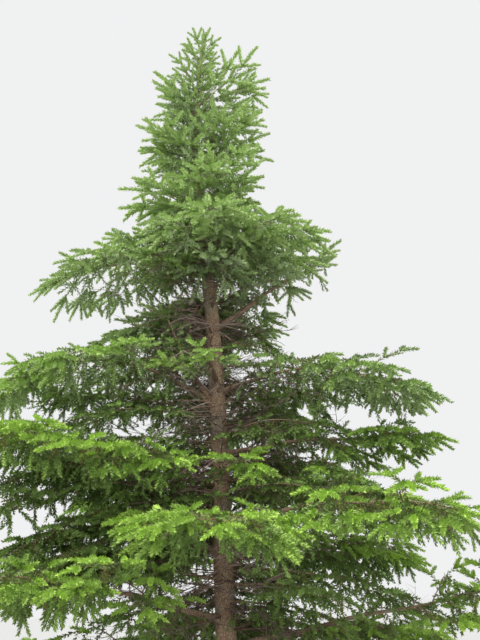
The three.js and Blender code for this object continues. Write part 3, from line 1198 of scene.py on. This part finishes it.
class SpruceNeedleSettings(bpy.types.PropertyGroup):
    """Sizes and colours of the needles."""

    new_length: bpy.props.FloatProperty(
        name="New needle length", description="Length of a needle on a new shoot",
        default=0.034, min=0.005, **LENGTH,
    )
    new_width: bpy.props.FloatProperty(
        name="New needle width", description="Width of a needle on a new shoot",
        default=0.0152, min=0.001, **LENGTH,
    )
    new_per_metre: bpy.props.IntProperty(
        name="New needles per metre", description="Needles on a metre of new shoot",
        default=310, min=20,
    )
    old_length: bpy.props.FloatProperty(
        name="Green needle length", description="Length of a needle on an older twig",
        default=0.034, min=0.005, **LENGTH,
    )
    old_width: bpy.props.FloatProperty(
        name="Green needle width", description="Width of a needle on an older twig",
        default=0.0145, min=0.001, **LENGTH,
    )
    old_per_metre: bpy.props.IntProperty(
        name="Green needles per metre", description="Needles on a metre of older twig",
        default=124, min=20,
    )
    new_colour: bpy.props.FloatVectorProperty(
        name="New shoots", description="Yellow-green of the new shoots",
        default=(0.45, 0.665, 0.125), **COLOUR,
    )
    shaded_colour: bpy.props.FloatVectorProperty(
        name="Shaded shoots", description="Green of the new shoots that hang inside",
        default=(0.262, 0.4, 0.105), **COLOUR,
    )
    green_colour: bpy.props.FloatVectorProperty(
        name="Older needles", description="Green of the older needles outside",
        default=(0.225, 0.31, 0.098), **COLOUR,
    )
    # Dealt to inner and hanging twigs: the oldest needles' own dark green, also painted shade
    dark_colour: bpy.props.FloatVectorProperty(
        name="Inner needles", description="Dark green of the oldest needles",
        default=(0.12, 0.16, 0.06), **COLOUR,
    )


class SpruceBarkSettings(bpy.types.PropertyGroup):
    """Colours and relief of the bark and the twigs."""

    brown: bpy.props.FloatVectorProperty(
        name="Bark", description="Brown of the bark's flakes",
        default=(0.41, 0.265, 0.167), **COLOUR,
    )
    pale: bpy.props.FloatVectorProperty(
        name="Pale flakes", description="Pinkish grey of the bark's pale flakes",
        default=(0.6, 0.46, 0.32), **COLOUR,
    )
    dark: bpy.props.FloatVectorProperty(
        name="Furrows", description="Dark brown of the furrows between the flakes",
        default=(0.36, 0.26, 0.19), **COLOUR,
    )
    young: bpy.props.FloatVectorProperty(
        name="Young twigs", description="Reddish tan of the young twigs",
        default=(0.34, 0.20, 0.09), **COLOUR,
    )
    dead: bpy.props.FloatVectorProperty(
        name="Dead twigs", description="Grey-brown of the dead twigs",
        default=(0.20, 0.15, 0.13), **COLOUR,
    )
    relief: bpy.props.FloatProperty(
        name="Bark relief", description="Depth of the furrows in the trunk's bark",
        default=0.0045, min=0.0, **LENGTH,
    )
    flake: bpy.props.FloatProperty(
        name="Flake size", description="Width of a flake of the trunk's bark",
        default=0.015, min=0.005, **LENGTH,
    )


class SpruceStageSettings(bpy.types.PropertyGroup):
    """The floor, the light and the camera."""

    floor_radius: bpy.props.FloatProperty(
        name="Floor radius", description="Radius of the round floor",
        default=60.0, min=1.0, **LENGTH,
    )
    floor_colour: bpy.props.FloatVectorProperty(
        name="Floor", description="Pale colour of the floor",
        default=(0.43, 0.43, 0.42), **COLOUR,
    )
    sky_colour: bpy.props.FloatVectorProperty(
        name="Surround", description="Colour of the soft light from all round",
        default=(0.94, 0.945, 0.95), **COLOUR,
    )
    sky_strength: bpy.props.FloatProperty(
        name="Surround strength", description="Strength of the soft light all round",
        default=0.93, min=0.0,
    )
    eye_height: bpy.props.FloatProperty(
        name="Eye height", description="Height of the camera over the ground",
        default=1.6, min=0.1, **LENGTH,
    )
    eye_distance: bpy.props.FloatProperty(
        name="Camera distance", description="Distance of the camera from the trunk",
        default=5.5, min=0.5, **LENGTH,
    )


# Operators, one for each group of like pieces


class SPRUCE_OT_trunk(bpy.types.Operator):
    """Wrap flaky bark round the trunk."""

    bl_idname = "spruce.trunk"
    bl_label = "Trunk"

    def execute(self, context):
        bark = context.scene.spruce_bark
        material = bark_material("trunk_bark", bark.dark, bark.brown, bark.pale, bark.flake)

        def place(turn, share):
            height = TREE_HEIGHT * share
            fluted = FLUTE_DEPTH * math.exp(-height / FLUTE_HEIGHT)
            flutes = 1 + fluted * math.cos(FLUTES * turn + FLUTE_TURN)
            out = Vector((math.cos(turn), math.sin(turn), 0.0))
            spot = Vector(trunk_axis(height)) + out * (stem_radius(height) * flutes)
            depth = bark.relief * min(1.0, stem_radius(height) / RELIEF_RADIUS)
            return spot + out * bark_relief(spot, bark.flake, depth)

        mesh = finished(wrapped_tube(TRUNK_SIDES, TRUNK_RINGS, place), "trunk_bark")
        piece = tree_piece("trunk_bark", mesh, [material])
        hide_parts("trunk")
        return {"FINISHED"}


class SPRUCE_OT_limbs(bpy.types.Operator):
    """Grow the limbs of the live boughs, from the trunk to their tips."""

    bl_idname = "spruce.limbs"
    bl_label = "Limbs"

    def execute(self, context):
        bark = context.scene.spruce_bark
        brown, pale = scaled(bark.brown, 0.9), scaled(bark.pale, 0.85)
        material = bark_material("limb_bark", bark.dark, brown, pale, LIMB_FLAKE)
        for region in REGIONS:
            joined = bmesh.new()
            boughs = [bough for bough in grown().boughs if bough.region == region]
            for bough in boughs:
                mesh = finished(self.limb_form(bough), "limb")
                joined.from_mesh(mesh)
                bpy.data.meshes.remove(mesh)
            name = f"limbs_{region}"
            piece = tree_piece(name, finished(joined, name), [material])
            nodes = [f"bough_{bough.tier}_{bough.side}" for bough in boughs]
            nodes = [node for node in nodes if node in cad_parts]
            if nodes:
                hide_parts(*nodes)
        return {"FINISHED"}

    def limb_form(self, bough):
        """One limb, thick at the trunk and thin at its tip."""

        def place(turn, share):
            along = bough.limb_end * share
            ahead = unit(bough.limb(along + 0.02) - bough.limb(along - 0.02))
            across = unit(np.cross(ahead, UP))
            above = np.cross(across, ahead)
            out = Vector(across * math.cos(turn) + above * math.sin(turn))
            radius = bough.limb_radius(along)
            spot = Vector(bough.limb(along)) + out * radius
            lump = noise.noise(spot * 9.0) * LIMB_LUMPS * radius
            rough = bark_relief(spot, LIMB_FLAKE, LIMB_RELIEF * radius)
            return spot + out * (lump + rough)

        sides = 9 if bough.radius > 0.02 else 6
        return wrapped_tube(sides, max(16, int(bough.limb_end / LIMB_RING_GAP)), place)


class SPRUCE_OT_live_twigs(bpy.types.Operator):
    """Grow the live twigs on the limbs."""

    bl_idname = "spruce.live_twigs"
    bl_label = "Live twigs"

    def execute(self, context):
        bark = context.scene.spruce_bark
        materials = [
            plain_material("young_twig", bark.young, 0.7, 0.2),
            plain_material("old_twig", scaled(bark.brown, 0.8), 0.85, 0.2),
        ]
        twig_pieces(LIVE, materials)
        return {"FINISHED"}


class SPRUCE_OT_dead_twigs(bpy.types.Operator):
    """Set the bare dead branches and twigs inside the crown."""

    bl_idname = "spruce.dead_twigs"
    bl_label = "Dead twigs"

    def execute(self, context):
        dead = context.scene.spruce_bark.dead
        materials = [
            plain_material("dead_twig_brown", mixed(dead, (0.2, 0.1, 0.06), 0.4), 0.9, 0.15),
            plain_material("dead_twig_grey", dead, 0.9, 0.15),
            plain_material("dead_twig_pale", scaled(dead, 1.5), 0.9, 0.15),
        ]
        twig_pieces(DEAD, materials)
        return {"FINISHED"}


class SPRUCE_OT_new_shoots(bpy.types.Operator):
    """Set the bright needles on the new shoots."""

    bl_idname = "spruce.new_shoots"
    bl_label = "New shoots"

    def execute(self, context):
        needles = context.scene.spruce_needles
        bright, shaded = needles.new_colour, needles.shaded_colour
        # Copies of the new shoots' green from lit to shaded: the shaded and deep shade copies are
        # painted shade for hanging and inner shoots
        shades = [
            ("new_shoot_bright", bright),
            ("new_shoot_fresh", mixed(bright, shaded, 0.33)),
            ("new_shoot_green", mixed(bright, shaded, 0.66)),
            ("new_shoot_shaded", shaded),
            ("new_shoot_deep_shade", scaled(shaded, 0.7)),
        ]
        needle = dict(
            length=needles.new_length, width=needles.new_width,
            per_metre=needles.new_per_metre, lean=46.0, parting=1.0, core=0.0052, sag=0.12,
        )
        for region, piece in needle_pieces(NEW, needle, shades, NEW_SEED).items():
            masses = [
                f"foliage_{bough.tier}_{bough.side}"
                for bough in grown().boughs
                if bough.region == region and bough.side
            ]
            if region == LEADER_REGION:
                masses.append("foliage_leader")
            if masses:
                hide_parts(*masses)
        return {"FINISHED"}


class SPRUCE_OT_green_needles(bpy.types.Operator):
    """Set the darker needles on the older twigs."""

    bl_idname = "spruce.green_needles"
    bl_label = "Green needles"

    def execute(self, context):
        needles = context.scene.spruce_needles
        green, dark = needles.green_colour, needles.dark_colour
        # From green to dark: the older needles' own darkening with age, dealt to inner and hanging
        # twigs also as painted shade
        shades = [
            ("needle_green", green),
            ("needle_middle_green", mixed(green, dark, 0.4)),
            ("needle_deep_green", mixed(green, dark, 0.8)),
            ("needle_dark_green", dark),
            ("needle_olive", mixed(green, (0.2, 0.15, 0.05), 0.5)),
        ]
        needle = dict(
            length=needles.old_length, width=needles.old_width,
            per_metre=needles.old_per_metre, lean=50.0, parting=0.9, core=0.0, sag=0.0,
        )
        needle_pieces(OLD, needle, shades, OLD_SEED)
        return {"FINISHED"}


class SPRUCE_OT_stage(bpy.types.Operator):
    """Set the floor, the soft light and the camera."""

    bl_idname = "spruce.stage"
    bl_label = "Stage"

    def execute(self, context):
        stage = context.scene.spruce_stage
        self.floor(stage)
        self.surround(context.scene, stage)
        self.overhead_light(context.scene)
        self.camera(context.scene, stage)
        return {"FINISHED"}

    def floor(self, stage):
        form = bmesh.new()
        bmesh.ops.create_circle(form, cap_ends=True, segments=96, radius=stage.floor_radius)
        bmesh.ops.recalc_face_normals(form, faces=form.faces)
        material = floor_material(stage.floor_colour)
        put_in_scene("floor", finished(form, "floor"), [material])

    def surround(self, scene, stage):
        world = bpy.data.worlds.new("surround")
        world.use_nodes = True
        light = world.node_tree.nodes["Background"]
        light.inputs["Color"].default_value = (*stage.sky_colour, 1.0)
        light.inputs["Strength"].default_value = stage.sky_strength
        scene.world = world
        scene.view_settings.view_transform = "Standard"

    def overhead_light(self, scene):
        """Soft light from one side of the sky, the same over the whole height."""
        light = bpy.data.lights.new("overhead_light", "SUN")
        light.angle = math.radians(LIGHT_SPREAD)
        light.energy = LIGHT_STRENGTH
        holder = bpy.data.objects.new("overhead_light", light)
        direction = Vector(LIGHT_WAY)
        turn = (-direction).to_track_quat("-Z", "Y").to_matrix().to_4x4()
        holder.matrix_world = Matrix.Translation(direction * LIGHT_DISTANCE) @ turn
        scene.collection.objects.link(holder)

    def camera(self, scene, stage):
        """The photograph's view: tilted up, a little to the right and a little rolled."""
        yaw, pitch, roll = (math.radians(angle) for angle in CAMERA_TURN)
        ahead = Vector(
            (math.sin(yaw) * math.cos(pitch), math.cos(yaw) * math.cos(pitch), math.sin(pitch))
        )
        level = Vector((math.cos(yaw), -math.sin(yaw), 0.0))
        upright = level.cross(ahead)
        right = level * math.cos(roll) - upright * math.sin(roll)
        above = upright * math.cos(roll) + level * math.sin(roll)
        turn = Matrix((right, above, -ahead)).transposed().to_4x4()
        lens = bpy.data.cameras.new("camera")
        lens.lens = LENS
        lens.sensor_width = SENSOR
        holder = bpy.data.objects.new("camera", lens)
        eye = (0.0, -stage.eye_distance, stage.eye_height)
        holder.matrix_world = Matrix.Translation(eye) @ turn
        scene.collection.objects.link(holder)
        scene.camera = holder


class SPRUCE_PT_panel(bpy.types.Panel):
    """Buttons for the tree's pieces and fields for its sizes and colours."""

    bl_label = "Spruce tree"
    bl_idname = "SPRUCE_PT_panel"
    bl_space_type = "VIEW_3D"
    bl_region_type = "UI"
    bl_category = "Spruce"

    def draw(self, context):
        for operator in OPERATORS:
            self.layout.operator(operator.bl_idname)
        for group in SETTINGS:
            settings = getattr(context.scene, group)
            box = self.layout.box()
            for name in settings.__annotations__:
                box.prop(settings, name)


OPERATORS = (
    SPRUCE_OT_stage,
    SPRUCE_OT_trunk,
    SPRUCE_OT_limbs,
    SPRUCE_OT_live_twigs,
    SPRUCE_OT_dead_twigs,
    SPRUCE_OT_green_needles,
    SPRUCE_OT_new_shoots,
)
SETTINGS = {
    "spruce_needles": SpruceNeedleSettings,
    "spruce_bark": SpruceBarkSettings,
    "spruce_stage": SpruceStageSettings,
}


def register():
    for name, group in SETTINGS.items():
        bpy.utils.register_class(group)
        setattr(bpy.types.Scene, name, bpy.props.PointerProperty(type=group))
    for operator in OPERATORS:
        bpy.utils.register_class(operator)
    bpy.utils.register_class(SPRUCE_PT_panel)


def unregister():
    bpy.utils.unregister_class(SPRUCE_PT_panel)
    for operator in reversed(OPERATORS):
        bpy.utils.unregister_class(operator)
    for name, group in SETTINGS.items():
        delattr(bpy.types.Scene, name)
        bpy.utils.unregister_class(group)


def main():
    register()
    bpy.ops.spruce.stage()
    bpy.ops.spruce.trunk()
    bpy.ops.spruce.limbs()
    bpy.ops.spruce.live_twigs()
    bpy.ops.spruce.dead_twigs()
    bpy.ops.spruce.green_needles()
    bpy.ops.spruce.new_shoots()


if __name__ == "__main__":
    main()
